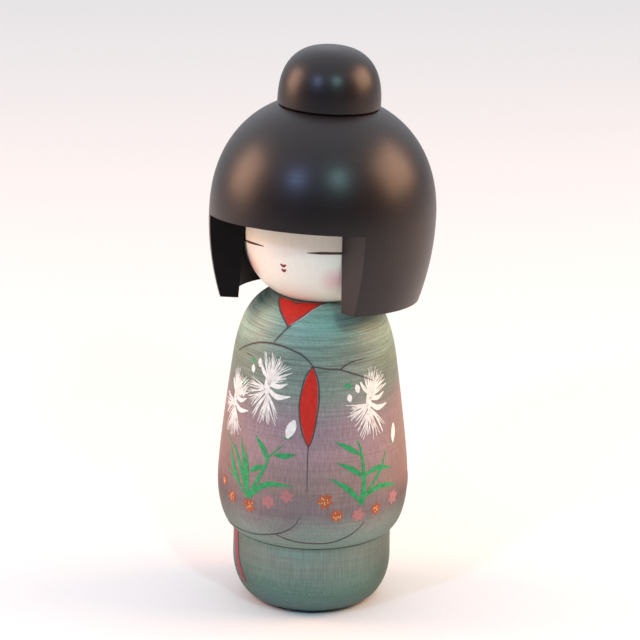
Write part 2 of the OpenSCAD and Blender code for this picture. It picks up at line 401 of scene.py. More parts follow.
# the rings are plain on the shoulders and half rubbed away lower down
ring_share = add(tree, "MapRange", {"Value": height.outputs["Z"], "From Min": 0.085, "From Max": 0.115,
                                    "To Min": 0.3, "To Max": 1.0})
rings = add(tree, "Mix", {"Factor": ring_share.outputs["Result"], 2: 1.0, 3: ring_tone.outputs["Result"]},
            data_type="FLOAT")
tone = add(tree, "Math", {0: fibre_tone.outputs["Result"], 1: rings.outputs[0]}, operation="MULTIPLY")
streaked = add(tree, "VectorMath", {0: dye_with_side_shade.outputs[2], "Scale": tone.outputs["Value"]},
               operation="SCALE")
gloss = add(tree, "MapRange", {"Value": ring.outputs["Fac"], "To Min": 0.36, "To Max": 0.56})
relief = add(tree, "Math", {0: ring.outputs["Fac"], 1: fibre.outputs["Fac"]}, operation="ADD")
bump = add(tree, "Bump", {"Height": relief.outputs["Value"], "Strength": 0.35, "Distance": 0.00012})
# the shoulders are burnished by the tool, the skirt is left dull
burnish = add(tree, "MapRange", {"Value": height.outputs["Z"], "From Min": 0.085, "From Max": 0.125,
                                 "To Min": 0.22, "To Max": 0.75})
feed(tree, shader, {"Base Color": streaked.outputs["Vector"], "Roughness": gloss.outputs["Result"],
                    "IOR": 1.5, "Specular IOR Level": burnish.outputs["Result"],
                    "Normal": bump.outputs["Normal"]})
print("dyed wood mixed")

# %% [markdown]
# ## The body
# Real grooves from the point of the tool run round the shoulders, about 1.3 mm apart, and grow shallow
# lower down. They are cut into the outline itself, so they are there in the mesh and catch the light at
# the edge of the shape too. The tool only takes wood away, so no groove stands above the outline.

# %% Turned body
lathe = random.Random(11)
GROOVE_HALF = 0.24  # half the width of a groove
LOOK_ROUND = 0.2  # how far to each side the outline's slope is taken
CORNER_ROOM = 0.6  # no groove is cut this near a corner of the outline
PLAIN_STEP = 0.3  # spacing of the points where no groove is cut


def groove_depth(z):
    """Depth of the tool marks in millimetres: deep on the shoulders, faint on the arms and skirt."""
    return float(np.interp(z, [0, 30, 34, 90, 106, 118, 133, 136],
                           [0.03, 0.03, 0.02, 0.04, 0.1, 0.15, 0.15, 0.0]))


grooved = [(0, 0)]
along = 0.0
corners = [float(side_s[len(foot) + k]) for k in (0, 1)]
while along < side_s[-1]:
    r, z = np.interp(along, side_s, side_r), np.interp(along, side_s, side_z)
    ahead = min(along + LOOK_ROUND, side_s[-1])
    behind = max(along - LOOK_ROUND, 0)
    tangent = Vector((np.interp(ahead, side_s, side_r) - np.interp(behind, side_s, side_r),
                      np.interp(ahead, side_s, side_z) - np.interp(behind, side_s, side_z))).normalized()
    inward = Vector((-tangent.y, tangent.x))
    near_corner = min(abs(along - corner) for corner in corners) < CORNER_ROOM
    depth = 0 if near_corner or along < 1 else groove_depth(z) * lathe.uniform(0.4, 1.0)
    if depth:
        for step, sunk in ((-GROOVE_HALF, 0), (0, depth), (GROOVE_HALF, 0)):
            at = along + step
            grooved.append((np.interp(at, side_s, side_r) + inward.x * sunk,
                            np.interp(at, side_s, side_z) + inward.y * sunk))
    else:
        grooved.append((float(r), float(z)))
    along += lathe.uniform(0.9, 1.7) if depth else PLAIN_STEP
for corner in corners:
    grooved.append((float(np.interp(corner, side_s, side_r)), float(np.interp(corner, side_s, side_z))))
grooved[1:] = sorted(grooved[1:], key=lambda p: float(np.interp(p[1], side_z, side_s)))
grooved += [(SEAT_R, BODY_H), (NECK_PEG_R, BODY_H), (NECK_PEG_R, NECK_PEG_LOW - PEG_ROOM),
            (0, NECK_PEG_LOW - PEG_ROOM)]
kimono_body = turned("kimono_body", grooved, steps=160)
finish_piece(kimono_body, dyed_wood_with_side_shade, "kimono", ["body"], 14)

# %% [markdown]
# ## The head core
# The face is a ball of white wood, primed with powdered shell and rubbed down, with a breath of pink on
# each cheek that is dusted on dry and has no edge. It is faced off square under the chin, where the head
# sits on the body, and bored for the two pegs.

# %% Painted face finish
face_paint, tree, shader = new_material("shell-white primed wood")


def face_radius(h):
    """Radius of the head core h mm above the rim."""
    u = min(abs((h - FACE_H) / FACE_R), 1.0)
    return FACE_R * (1 - u ** FACE_POWER) ** (1 / FACE_POWER)


def on_face(turn, h):
    """A point on the head core, turn degrees from the front towards the doll's left, h mm above the rim."""
    r, t = face_radius(h), math.radians(turn)
    return HEAD @ (Vector((r * math.sin(t), -r * math.cos(t), h)) * MM)


place = add(tree, "TexCoord", {}).outputs["Object"]
# upright grain that shows faintly through the primer, 0.5 mm wide and 10 mm long
grain_map = add(tree, "Mapping", {"Vector": place, "Scale": (1800, 1800, 100)})
grain = add(tree, "TexNoise", {"Vector": grain_map.outputs["Vector"], "Scale": 1.0, "Detail": 2.0})
skin = add(tree, "ValToRGB", {"Fac": grain.outputs["Fac"]})
skin.color_ramp.elements[0].position = 0.25
skin.color_ramp.elements[0].color = linear("#ece3d3")
skin.color_ramp.elements[1].position = 0.75
skin.color_ramp.elements[1].color = linear("#f3ebda")
blushed = skin.outputs["Color"]
# the doll's right cheek (turn -41) is drawn more orange than the left: that warmth is painted warm side light
# over the pink blush
for cheek_turn, cheek_h, cheek_colour in ((41, 13.6, "#e79aa6"), (-41, 14.0, "#f09a80")):
    away = add(tree, "VectorMath", {0: place, 1: tuple(on_face(cheek_turn, cheek_h))},
               operation="DISTANCE")
    dusting = add(tree, "MapRange", {"Value": away.outputs["Value"], "From Min": 0.0, "From Max": 0.0085,
                                     "To Min": 0.55, "To Max": 0.0}, interpolation_type="SMOOTHSTEP")
    mixed = add(tree, "Mix", {"Factor": dusting.outputs["Result"], 6: blushed, 7: linear(cheek_colour)},
                data_type="RGBA")
    blushed = mixed.outputs[2]
bump = add(tree, "Bump", {"Height": grain.outputs["Fac"], "Strength": 0.12, "Distance": 0.00008})
feed(tree, shader, {"Base Color": blushed, "Roughness": 0.42, "IOR": 1.5, "Normal": bump.outputs["Normal"]})
print("face paint mixed")

# %% Turned head core
face_top = FACE_H + FACE_R
hole_bottom = face_top - CROWN_PEG_IN_FACE - PEG_ROOM
ball = [(r, FACE_H + z) for r, z in quarter(FACE_R, FACE_R, FACE_POWER, -90, 90, 96)]
ball = [p for p in ball if p[1] < FACE_H or p[0] > CROWN_PEG_R]
hole_edge = (CROWN_PEG_R, ball[-1][1])
head_core = turned("head_core", [(0, ball[0][1])] + ball[1:]
                   + [hole_edge, (CROWN_PEG_R, hole_bottom), (0, hole_bottom)])
only(head_core)
head_core.matrix_world = HEAD
bpy.ops.object.transform_apply(location=True, rotation=True, scale=True)
bpy.ops.object.mode_set(mode="EDIT")
bpy.ops.mesh.select_all(action="SELECT")
bpy.ops.mesh.bisect(plane_co=(0, 0, (BODY_H + SEAT_GAP) * MM), plane_no=(0, 0, 1), use_fill=True,
                    clear_inner=True)
bpy.ops.object.mode_set(mode="OBJECT")
bpy.ops.mesh.primitive_cylinder_add(vertices=96, radius=(NECK_PEG_R + RUN_CLEAR) * MM,
                                    depth=(NECK_HOLE_TOP - BODY_H + 1) * MM,
                                    location=(0, 0, (NECK_HOLE_TOP + BODY_H - 1) / 2 * MM))
cut_away(head_core, bpy.context.object)
finish_piece(head_core, face_paint, "head", ["face"])

# %% [markdown]
# ## The hair
# The bob is a thick turned cup, dyed almost black and rubbed with lacquer to a satin. It is turned inside
# and out as one ring, the rim is trimmed, and a wedge is sawn out of the front: its two flat sides are
# the fronts of the side locks and its top is the straight fringe.

# %% Lacquered hair finish
hair_lacquer, tree, shader = new_material("satin lacquer over dyed wood")
place = add(tree, "TexCoord", {}).outputs["Object"]
# rubbing marks of the polishing cloth: 0.6 mm apart, drawn out round the head
rub_map = add(tree, "Mapping", {"Vector": place, "Scale": (60, 60, 1600)})
rub = add(tree, "TexNoise", {"Vector": rub_map.outputs["Vector"], "Scale": 1.0, "Detail": 3.0})
# pores of the wood that the lacquer sinks into, 0.3 mm wide and 3 mm long
pore_map = add(tree, "Mapping", {"Vector": place, "Scale": (3000, 3000, 350)})
pore = add(tree, "TexNoise", {"Vector": pore_map.outputs["Vector"], "Scale": 1.0, "Detail": 2.0})
hair_colour = add(tree, "ValToRGB", {"Fac": pore.outputs["Fac"]})
hair_colour.color_ramp.elements[0].position = 0.3
hair_colour.color_ramp.elements[0].color = linear("#100808")
hair_colour.color_ramp.elements[1].position = 0.7
hair_colour.color_ramp.elements[1].color = linear("#1b0e0e")
gloss = add(tree, "MapRange", {"Value": rub.outputs["Fac"], "To Min": 0.32, "To Max": 0.42})
bump = add(tree, "Bump", {"Height": rub.outputs["Fac"], "Strength": 0.1, "Distance": 0.00008})
feed(tree, shader, {"Base Color": hair_colour.outputs["Color"], "Roughness": gloss.outputs["Result"],
                    "IOR": 1.5, "Specular IOR Level": 0.43, "Normal": bump.outputs["Normal"]})
print("hair lacquer mixed")

# %% Dull black for the hollow, and painted shade on one sawn face
stain_and_shade_black, tree, shader = new_material("dull black of the hollow, with painted shade on a sawn face")
place = add(tree, "TexCoord", {}).outputs["Object"]
# saw marks, 0.8 mm apart
saw_map = add(tree, "Mapping", {"Vector": place, "Scale": (150, 150, 1200)})
saw = add(tree, "TexNoise", {"Vector": saw_map.outputs["Vector"], "Scale": 1.0, "Detail": 2.0})
stain_and_shade_colour = add(tree, "ValToRGB", {"Fac": saw.outputs["Fac"]})
stain_and_shade_colour.color_ramp.elements[0].color = linear("#0b0707")
stain_and_shade_colour.color_ramp.elements[1].color = linear("#130d0d")
bump = add(tree, "Bump", {"Height": saw.outputs["Fac"], "Strength": 0.2, "Distance": 0.0001})
feed(tree, shader, {"Base Color": stain_and_shade_colour.outputs["Color"], "Roughness": 0.6, "Specular IOR Level": 0.12,
                    "Normal": bump.outputs["Normal"]})
print("black stain mixed")

# %% Turned and sawn hair
# turned deeper than the rim, so that the slanting trim cuts all the way round
hem = 1 + HAIR_R * math.tan(math.radians(TRIM_ROLL))
side = []
for i in range(41):
    h = -hem + (HAIR_H + hem) * i / 40
    t = 1 - h / HAIR_H
    side.append((HAIR_R - (HAIR_R - RIM_R) * t * t, h))
dome_angle = math.degrees(math.acos((CROWN_SEAT_R / HAIR_R) ** (CROWN_POWER / 2)))
dome = [(r, HAIR_H + z) for r, z in quarter(HAIR_R, CROWN_H, CROWN_POWER, 0, dome_angle, 48)]
knot_seat = dome[-1][1]
hollow = [(r, FACE_H + z) for r, z in quarter(FACE_R + HAIR_GAP, FACE_R + HAIR_GAP, FACE_POWER, 90, 0, 48)]
hollow = [p for p in hollow if p[0] > CROWN_PEG_R]
bob = turned("bobbed_hair", side + dome[1:] + [(CROWN_PEG_R, knot_seat), (CROWN_PEG_R, hollow[0][1])]
             + hollow + [(RIM_BORE_R, -hem)], steps=160)

only()
WIDE = 90  # half the width of a cutter, wider than the head
PAST_FRONT = 40  # how far the wedge reaches past that in front
BELOW = -20  # how deep the wedge starts under the rim
lean = WIDE / math.tan(math.radians(WINDOW_ANGLE))
bpy.ops.mesh.primitive_cube_add(size=1)
wedge = bpy.context.object
fringe_slope = math.tan(math.radians(FRINGE_RISE))
for vertex in wedge.data.vertices:
    x = WIDE if vertex.co.x > 0 else -WIDE
    y = -WINDOW_APEX - lean if vertex.co.y > 0 else -WIDE - PAST_FRONT
    z = FRINGE_H - y * fringe_slope if vertex.co.z > 0 else BELOW
    vertex.co = Vector((x, y, z)) * MM
# the two side cuts meet at the apex: split the back face in the middle and pull the new edge back
bpy.ops.object.mode_set(mode="EDIT")
bpy.ops.mesh.select_all(action="SELECT")
bpy.ops.mesh.bisect(plane_co=(0, 0, 0), plane_no=(1, 0, 0))
bpy.ops.object.mode_set(mode="OBJECT")
for vertex in wedge.data.vertices:
    if abs(vertex.co.x) < 1e-6 and vertex.co.y > -WIDE * MM:
        vertex.co.y = -WINDOW_APEX * MM
        if vertex.co.z > 0:
            vertex.co.z = (FRINGE_H + WINDOW_APEX * fringe_slope) * MM
only()
bpy.ops.mesh.primitive_cube_add(size=2 * WIDE * MM, location=(0, 0, -WIDE * MM))
below_rim = bpy.context.object
for cutter in (wedge, below_rim):
    cutter.matrix_world = Matrix.Rotation(math.radians(-TRIM_ROLL), 4, "Y") @ cutter.matrix_world
    cut_away(bob, cutter)
only(bob)
bob.matrix_world = HEAD
bpy.ops.object.transform_apply(location=True, rotation=True, scale=True)
finish_piece(bob, hair_lacquer, "head", ["hair"])
# the hollow is only stained, not polished; the sawn front of the right lock gets the same dull black as
# painted shade, while the left lock's matching sawn front keeps the lacquer
bob.data.materials.append(stain_and_shade_black)
to_head = HEAD.inverted()
lock_front = Vector((math.cos(math.radians(WINDOW_ANGLE)), -math.sin(math.radians(WINDOW_ANGLE)), 0))
darkened = 0
for face in bob.data.polygons:
    centre = to_head @ face.center
    facing_out = to_head.to_3x3() @ face.normal
    outwards = Vector((centre.x, centre.y, 0)).normalized()
    inside = facing_out.dot(outwards) < -0.3 and centre.z < FACE_H * MM
    # the right lock's sawn front: its dull black is painted shade
    if inside or (centre.x < 0 and centre.z < FRINGE_H * MM and facing_out.dot(lock_front) > 0.98):
        face.material_index = 1
        darkened += 1
print("stained faces:", darkened)

# %% [markdown]
# ## The top knot
# A small turned cap of the same lacquered wood, softly domed on top and with its lower edge just eased.
# It is bored from below for the peg that also pins the hair to the head.

# %% Turned top knot
EASED = 0.6  # radius of the eased lower edge
cap = [p for p in quarter(KNOT_R, KNOT_H, KNOT_POWER, 0, 90, 72) if p[1] > EASED]
eased = [(KNOT_R - EASED + EASED * math.sin(g), EASED - EASED * math.cos(g))
         for g in np.linspace(0, math.pi / 2, 6)]
hole_end = CROWN_PEG_IN_KNOT + PEG_ROOM
knot_outline = [(0, hole_end), (CROWN_PEG_R, hole_end), (CROWN_PEG_R, 0)]
knot_outline += eased + cap[:-1] + [(0, KNOT_H)]
top_knot = turned("top_knot", [(r, z + knot_seat) for r, z in knot_outline])
only(top_knot)
top_knot.matrix_world = HEAD
bpy.ops.object.transform_apply(location=True, rotation=True, scale=True)
finish_piece(top_knot, hair_lacquer, "head", ["bun"])

# %% [markdown]
# ## The pegs
# Both pegs are plain turned dowels, hidden inside. Their CAD solids already have the right shape, so they
# stay and only get their wood.

# %% Bare peg wood
peg_wood, tree, shader = new_material("bare turned peg wood")
place = add(tree, "TexCoord", {}).outputs["Object"]
# straight grain along the peg, 0.8 mm wide and 12 mm long
peg_map = add(tree, "Mapping", {"Vector": place, "Scale": (1200, 1200, 80)})
peg_grain = add(tree, "TexNoise", {"Vector": peg_map.outputs["Vector"], "Scale": 1.0, "Detail": 3.0})
peg_colour = add(tree, "ValToRGB", {"Fac": peg_grain.outputs["Fac"]})
peg_colour.color_ramp.elements[0].position = 0.3
peg_colour.color_ramp.elements[0].color = linear("#c9a877")
peg_colour.color_ramp.elements[1].position = 0.7
peg_colour.color_ramp.elements[1].color = linear("#dfc293")
bump = add(tree, "Bump", {"Height": peg_grain.outputs["Fac"], "Strength": 0.3, "Distance": 0.0001})
feed(tree, shader, {"Base Color": peg_colour.outputs["Color"], "Roughness": 0.65,
                    "Normal": bump.outputs["Normal"]})
for peg in ("neck_peg", "crown_peg"):
    node_object = frame["nodes"][peg]
    node_object.data.materials.clear()
    node_object.data.materials.append(peg_wood)
    print(peg, "has its wood")

# %% [markdown]
# ## Brushwork
# Paint on a doll is a thin raised skin. Each stroke starts as a flat grid, as long as the stroke and as
# wide as the brush was pressed, and is rolled onto the turned surface. No operator rolls a sheet onto a
# turned form, so the grid's points are moved there in code. Solidify then gives the paint its thickness.

# %% Places on the body
def outline_length(z):
    """Length along the body's outline at a height, in millimetres."""
    return float(np.interp(z, side_z[len(foot):], side_s[len(foot):])) if z > CREASE_H else \
        float(np.interp(z, side_z[:len(foot) + 1], side_s[:len(foot) + 1]))


def on_body(turn, s):
    """A point on the body, turn degrees from the front towards the doll's left, s mm along the outline."""
    r, z, t = np.interp(s, side_s, side_r), np.interp(s, side_s, side_z), math.radians(turn)
    return Vector((r * math.sin(t), -r * math.cos(t), z)) * MM


def body_radius(s):
    """Radius of the body, s mm along the outline."""
    return float(np.interp(s, side_s, side_r))


MM_PER_DEGREE = 0.6  # length of one degree of turn on the surface, near enough for spacing points


def smooth_line(points, spacing):
    """Evens out a line of (turn, length) points with a curve that passes through all of them."""
    p = np.array(points, float)
    if len(p) == 2:
        p = np.array([p[0], (p[0] + p[1]) / 2, p[1]])
    ext = np.vstack([2 * p[0] - p[1], p, 2 * p[-1] - p[-2]])
    dense = []
    for i in range(1, len(ext) - 2):
        a, b, c, d = ext[i - 1:i + 3]
        for t in np.linspace(0, 1, 12, endpoint=False):
            dense.append(0.5 * (2 * b + (c - a) * t + (2 * a - 5 * b + 4 * c - d) * t * t
                                + (3 * b - a - 3 * c + d) * t ** 3))
    dense.append(p[-1])
    dense = np.array(dense)
    scale = np.array([MM_PER_DEGREE, 1.0])
    run = np.concatenate([[0], np.cumsum(np.hypot(*(np.diff(dense, axis=0) * scale).T))])
    count = max(int(run[-1] / spacing), 3)
    at = np.linspace(0, run[-1], count + 1)
    return np.stack([np.interp(at, run, dense[:, 0]), np.interp(at, run, dense[:, 1])], 1)


def paint_sheet(left, right, across, surface):
    """A flat grid between two edges of a stroke, rolled onto a turned surface."""
    count = len(left) - 1
    bpy.ops.mesh.primitive_grid_add(x_subdivisions=count, y_subdivisions=across, size=2)
    sheet = bpy.context.object
    for vertex in sheet.data.vertices:
        i = round((vertex.co.x + 1) / 2 * count)
        share_across = (vertex.co.y + 1) / 2
        turn = right[i][0] + (left[i][0] - right[i][0]) * share_across
        length = right[i][1] + (left[i][1] - right[i][1]) * share_across
        vertex.co = surface(turn, length)
    return sheet


SHEET_CELL = 1.2  # widest cell of a stroke's grid


def stroke(line, widths, radius, surface, spacing=1.0):
    """A brush stroke along a line. Widths, in millimetres, are spread evenly from its start to its end."""
    line = smooth_line(line, spacing)
    share_along = np.linspace(0, 1, len(line))
    half = np.interp(share_along, np.linspace(0, 1, len(widths)), widths) / 2
    radii = np.array([radius(s) for s in line[:, 1]])
    flat = np.stack([np.radians(line[:, 0]) * radii, line[:, 1]], 1)
    heading = np.gradient(flat, axis=0)
    heading /= np.maximum(np.hypot(heading[:, 0], heading[:, 1]), 1e-9)[:, None]
    sideways = np.stack([-heading[:, 1], heading[:, 0]], 1) * half[:, None]
    offset = np.stack([np.degrees(sideways[:, 0] / radii), sideways[:, 1]], 1)
    across = max(1, math.ceil(max(widths) / SHEET_CELL))
    return paint_sheet(line + offset, line - offset, across, surface)


def on_height(points):
    """Turns (turn, height) places on the body into (turn, length along the outline)."""
    return [(turn, outline_length(z)) for turn, z in points]


def body_stroke(points, widths, spacing=1.0):
    """A brush stroke on the body through (turn, height) places."""
    return stroke(on_height(points), widths, body_radius, on_body, spacing)


def body_field(left, right, across=6, count=24):
    """A filled field of paint on the body between two edges that run the same way."""
    edges = []
    for edge in (left, right):
        line = smooth_line(on_height(edge), 0.5)
        at = np.linspace(0, len(line) - 1, count + 1)
        edges.append(np.stack([np.interp(at, range(len(line)), line[:, k]) for k in (0, 1)], 1))
    return paint_sheet(edges[0], edges[1], across, on_body)


def paint_piece(name, sheets, paint, thickness, body):
    """Joins the sheets of one paint, gives them their thickness and finishes the piece."""
    only(*sheets)
    bpy.ops.object.join()
    piece = bpy.context.object
    piece.name = name
    apply_modifier(piece, "SOLIDIFY", thickness=2 * thickness * MM, offset=0)
    only(piece)
    bpy.ops.object.mode_set(mode="EDIT")
    bpy.ops.mesh.select_all(action="SELECT")
    bpy.ops.mesh.remove_doubles(threshold=1e-6)
    bpy.ops.mesh.normals_make_consistent(inside=False)
    bpy.ops.object.mode_set(mode="OBJECT")
    finish_piece(piece, paint, body, angle=40)


print("brushes ready")

# %% [markdown]
# ## Paints
# All the paints are the same kind of thing, a matt colour bound with glue, so one recipe mixes them: the
# colour is thicker and paler in some bristle marks than in others, and the surface is faintly ridged.

# %% Mixing the paints
def bound_paint(name, thin, thick, roughness=0.5):
    """A brushed matt paint, from the colour where it is thin to the colour where it is thick."""
    paint, tree, shader = new_material(name)
    place = add(tree, "TexCoord", {}).outputs["Object"]
    # bristle marks, 0.35 mm apart, and the pooling of the paint, 2 mm across
    bristle = add(tree, "TexNoise", {"Vector": place, "Scale": 2800.0, "Detail": 2.0})
    pool = add(tree, "TexNoise", {"Vector": place, "Scale": 500.0, "Detail": 2.0})
    both = add(tree, "Math", {0: bristle.outputs["Fac"], 1: pool.outputs["Fac"]}, operation="ADD")
    mean = add(tree, "Math", {0: both.outputs["Value"], 1: 0.5}, operation="MULTIPLY")
    colour = add(tree, "ValToRGB", {"Fac": mean.outputs["Value"]})
    colour.color_ramp.elements[0].position = 0.38
    colour.color_ramp.elements[0].color = linear(thin)
    colour.color_ramp.elements[1].position = 0.6
    colour.color_ramp.elements[1].color = linear(thick)
    bump = add(tree, "Bump", {"Height": bristle.outputs["Fac"], "Strength": 0.25, "Distance": 0.00008})
    feed(tree, shader, {"Base Color": colour.outputs["Color"], "Roughness": roughness,
                        "Specular IOR Level": 0.35, "Normal": bump.outputs["Normal"]})
    return paint


ink = bound_paint("brushed soot ink", "#544c4e", "#403839")
eye_ink = bound_paint("brushed brown ink", "#5a3626", "#46281c")
red_paint = bound_paint("brushed vermilion", "#b61a0c", "#c82414")
crimson_paint = bound_paint("brushed crimson", "#7c1a2e", "#982840")
white_paint = bound_paint("brushed shell white", "#d8d4cc", "#f4f2ec", 0.6)
leaf_paint = bound_paint("brushed leaf green", "#1f8048", "#34a264")
orange_paint = bound_paint("brushed orange ochre", "#a04424", "#bc5c34")
pink_paint = bound_paint("thin washed pink", "#a46c6c", "#b27674")
yellow_paint = bound_paint("dotted pale yellow", "#c89c58", "#dcb878")
piping_paint = bound_paint("brushed pale grey", "#a89c9c", "#c8bcb8")
print("ten paints mixed")

# %% [markdown]
# ## The red lining
# Two places show the red lining of the robe: the small triangle at the throat, between the crossed
# collars, and the long narrow opening where the two sleeves meet in front.

# %% Red lining
collar_left = [(-31.4, 135.9), (-20.0, 135.0), (-12.1, 133.8), (-0.2, 130.6), (5.0, 128.3)]
collar_right = [(44.8, 136.0), (34.0, 135.7), (26.5, 134.8), (14.7, 132.0), (5.0, 128.3)]
slit_left = [(27.0, 113.4), (23.1, 108.7), (20.3, 102.4), (19.4, 97.0), (20.3, 90.9), (22.4, 85.6),
             (25.3, 80.3)]
slit_right = [(27.6, 113.4), (30.0, 108.8), (31.0, 104.2), (30.9, 98.1), (29.4, 89.6), (27.6, 84.2),
              (25.8, 80.3)]
lining = [body_field(collar_left, collar_right, 20, 20), body_field(slit_left, slit_right, 6, 30)]
paint_piece("red_lining", lining, red_paint, 0.10, "kimono")

# %% [markdown]
# ## The drawn lines of the robe
# Collars, sleeves and the fold between them are drawn in soot ink with a fine brush that is lifted at
# the end of each line, so the lines taper. The short dark stroke at the throat is painted shade under the
# chin.

# %% Ink lines
INK_LINES_AND_CHIN_SHADE = [
    (collar_left, (0.6, 0.9, 0.8)),
    (collar_right[:-1] + [(5.0, 128.3), (0.1, 125.3), (-4.4, 122.0)], (0.5, 0.6, 0.6, 0.6, 0.4)),
    ([(-42.2, 112.9), (-32.4, 116.6), (-20.3, 119.7), (-9.6, 121.1), (1.9, 121.1), (11.1, 120.0),
      (19.7, 118.2), (26.0, 115.1), (27.4, 113.6)], (0.25, 0.6, 0.7, 0.7, 0.7, 0.5)),
    ([(-30.3, 113.9), (-22.0, 113.7)], (0.1, 0.3, 0.1)),
    ([(27.2, 113.9), (22.4, 109.4), (19.9, 103.2), (18.9, 97.0), (19.7, 90.9), (21.8, 85.2), (25.4, 79.9)],
     (0.5, 0.6, 0.6, 0.5)),
    ([(27.5, 113.9), (30.9, 108.8), (31.9, 104.2), (31.8, 98.1), (29.9, 89.6), (27.9, 83.4), (25.7, 79.9)],
     (0.5, 0.6, 0.6, 0.5)),
    ([(27.6, 113.8), (38.3, 112.8), (46.9, 112.3), (57.1, 109.9), (65.9, 107.5), (73.8, 104.9)],
     (0.5, 0.6, 0.6, 0.2)),
    ([(46.9, 112.3), (54.9, 114.6), (67.4, 115.4)], (0.5, 0.5, 0.15)),
    ([(25.5, 80.4), (25.2, 74.5), (25.3, 65.9), (25.2, 60.1)], (0.4, 0.35, 0.3, 0.1)),
    ([(-48.0, 35.0), (-28.9, 36.4), (-10.9, 37.3), (0.1, 39.0), (9.7, 41.1), (17.3, 44.7), (21.4, 49.2)],
     (0.3, 0.45, 0.5, 0.5, 0.15)),
    ([(5.5, 39.6), (16.8, 37.4), (28.7, 36.6), (40.6, 36.8), (52.3, 39.5), (59.5, 43.1), (62.0, 45.6)],
     (0.3, 0.45, 0.5, 0.5, 0.15)),
    ([(-5.5, 135.95), (2.8, 135.6), (11.0, 135.95)], (0.4, 1.1, 0.4)),  # painted shade in the gap under the chin
]
paint_piece("ink_lines_and_chin_shade", [body_stroke(line, widths, 0.8) for line, widths in INK_LINES_AND_CHIN_SHADE], ink, 0.14, "kimono")

# %% [markdown]
# A hair-thin pale edge lies along the inside of the upper collar, where the lining folds over it.

# %% Collar piping
piping_edge = [(38.0, 135.7), (26.0, 134.5), (17.0, 132.2), (6.4, 129.2)]
paint_piece("collar_piping", [body_stroke(piping_edge, (0.3, 0.45, 0.45, 0.2))], piping_paint, 0.16, "kimono")

# %% [markdown]
# ## The hem
# At the doll's right the robe overlaps, and a strip of its crimson edge runs down from the crease.

# %% Hem strip
hem_inner = [(-40.5, 31.5), (-39.4, 26.0), (-38.5, 21.3), (-34.5, 16.8), (-29.5, 11.0)]
hem_outer = [(-49.5, 31.5), (-48.0, 26.0), (-45.0, 21.0), (-40.0, 15.4), (-32.5, 9.6)]
paint_piece("hem_strip", [body_field(hem_outer, hem_inner, 3, 20)], crimson_paint, 0.10, "kimono")
paint_piece("hem_line", [body_stroke(hem_inner, (0.5, 0.6, 0.3))], ink, 0.14, "kimono")

# %% [markdown]
# ## Fringed flowers
# Three white flowers float over the sleeves. Each is drawn from one plan: narrow solid petals, and fans of
# hair-thin strokes that start together and spread. The plan is in millimetres from the flower's heart, and
# each flower turns, stretches and varies it a little, as a hand does.

# %% White flowers
hand = random.Random(4)


def flower_strokes(turn, z, size, lean_by, spread):
    """The strokes of one fringed flower about its heart."""
    s0 = outline_length(z)
    radius = body_radius(s0)

    def spot(x, y):
        c, s = math.cos(lean_by), math.sin(lean_by)
        x, y = (x * c - y * s) * size, (x * s + y * c) * size
        return (turn + math.degrees(x / radius), s0 + y)

    made = []

    def petal(path, widths):
        made.append(stroke([spot(*p) for p in path], [w * size for w in widths], body_radius, on_body, 0.9))

    def fan(x, y, first, last, count, short, long, thick=0.5):
        for k in range(count):
            angle = math.radians(first + (last - first) * k / (count - 1) + hand.uniform(-2.5, 2.5))
            reach = hand.uniform(short, long)
            sway = hand.uniform(-0.12, 0.12)
            middle = (x + reach * 0.5 * math.cos(angle + sway), y + reach * 0.5 * math.sin(angle + sway))
            petal([(x, y), middle, (x + reach * math.cos(angle), y + reach * math.sin(angle))],
                  (thick, 0.4, 0.18))

    petal([(0.0, -1.8), (-0.2, 2.0), (0.3, 6.4), (0.0, 9.0)], (1.2, 2.6, 2.2, 0.8))
    petal([(0.4, 0.8), (4.4, -1.5), (9.6, -0.8)], (1.3, 2.2, 0.4))
    petal([(0.4, 4.4), (-2.2, 6.8), (-4.0, 9.6)], (1.0, 1.6, 0.7))
    petal([(0.2, 3.0), (4.6, 2.4), (8.2, 4.0)], (1.6, 1.9, 0.3))
    fan(0.6, 4.2, 14, 112, 28, 7.0, 11.0, 0.9)
    fan(0.3, 2.6, 20, 80, 12, 4.0, 6.5, 1.3)
    fan(-0.4, 0.6, 160 + spread, 236, 16, 7.0, 10.2, 0.7)
    fan(0.2, -1.0, 234, 302 + spread, 19, 8.0, 12.5, 0.7)
    return made


white_strokes = flower_strokes(-4.9, 101.5, 1.12, 0.0, 0)
white_strokes += flower_strokes(-35.5, 91.0, 1.06, 0.05, 0)
white_strokes += flower_strokes(68.2, 95.2, 1.1, -0.05, 16)
BUDS = [  # turn, height, length, width, lean from upright in degrees
    (-19.2, 109.1, 3.4, 2.2, 5), (-13.4, 112.4, 3.8, 2.2, 8), (-30.5, 100.3, 2.6, 1.2, -10),
    (-25.6, 97.0, 3.2, 1.2, -25), (59.4, 103.4, 3.8, 2.5, 15), (53.2, 99.9, 3.4, 2.4, 10),
    (13.9, 87.0, 8.6, 4.2, -20), (89.8, 79.9, 8.2, 3.4, -12),
]


def dab(turn, z, length, width, lean):
    """A single press of the brush, pointed at both ends."""
    s0 = outline_length(z)
    radius = body_radius(s0)
    dx, dy = math.sin(math.radians(-lean)) * length / 2, math.cos(math.radians(lean)) * length / 2
    ends = [(turn + math.degrees(k * dx / radius), s0 + k * dy) for k in (-1, 0, 1)]
    return stroke(ends, (0.25 * width, 0.8 * width, width, 0.85 * width, 0.2 * width), body_radius, on_body,
                  max(length / 8, 0.25))


white_strokes += [dab(*bud) for bud in BUDS]
paint_piece("white_flowers", white_strokes, white_paint, 0.12, "kimono")

# %% [markdown]
# ## Grasses
# Two tufts of grass rise from the lower sleeve. A blade is one stroke: the brush lands thin, is pressed to
# its full width and is lifted to a point.

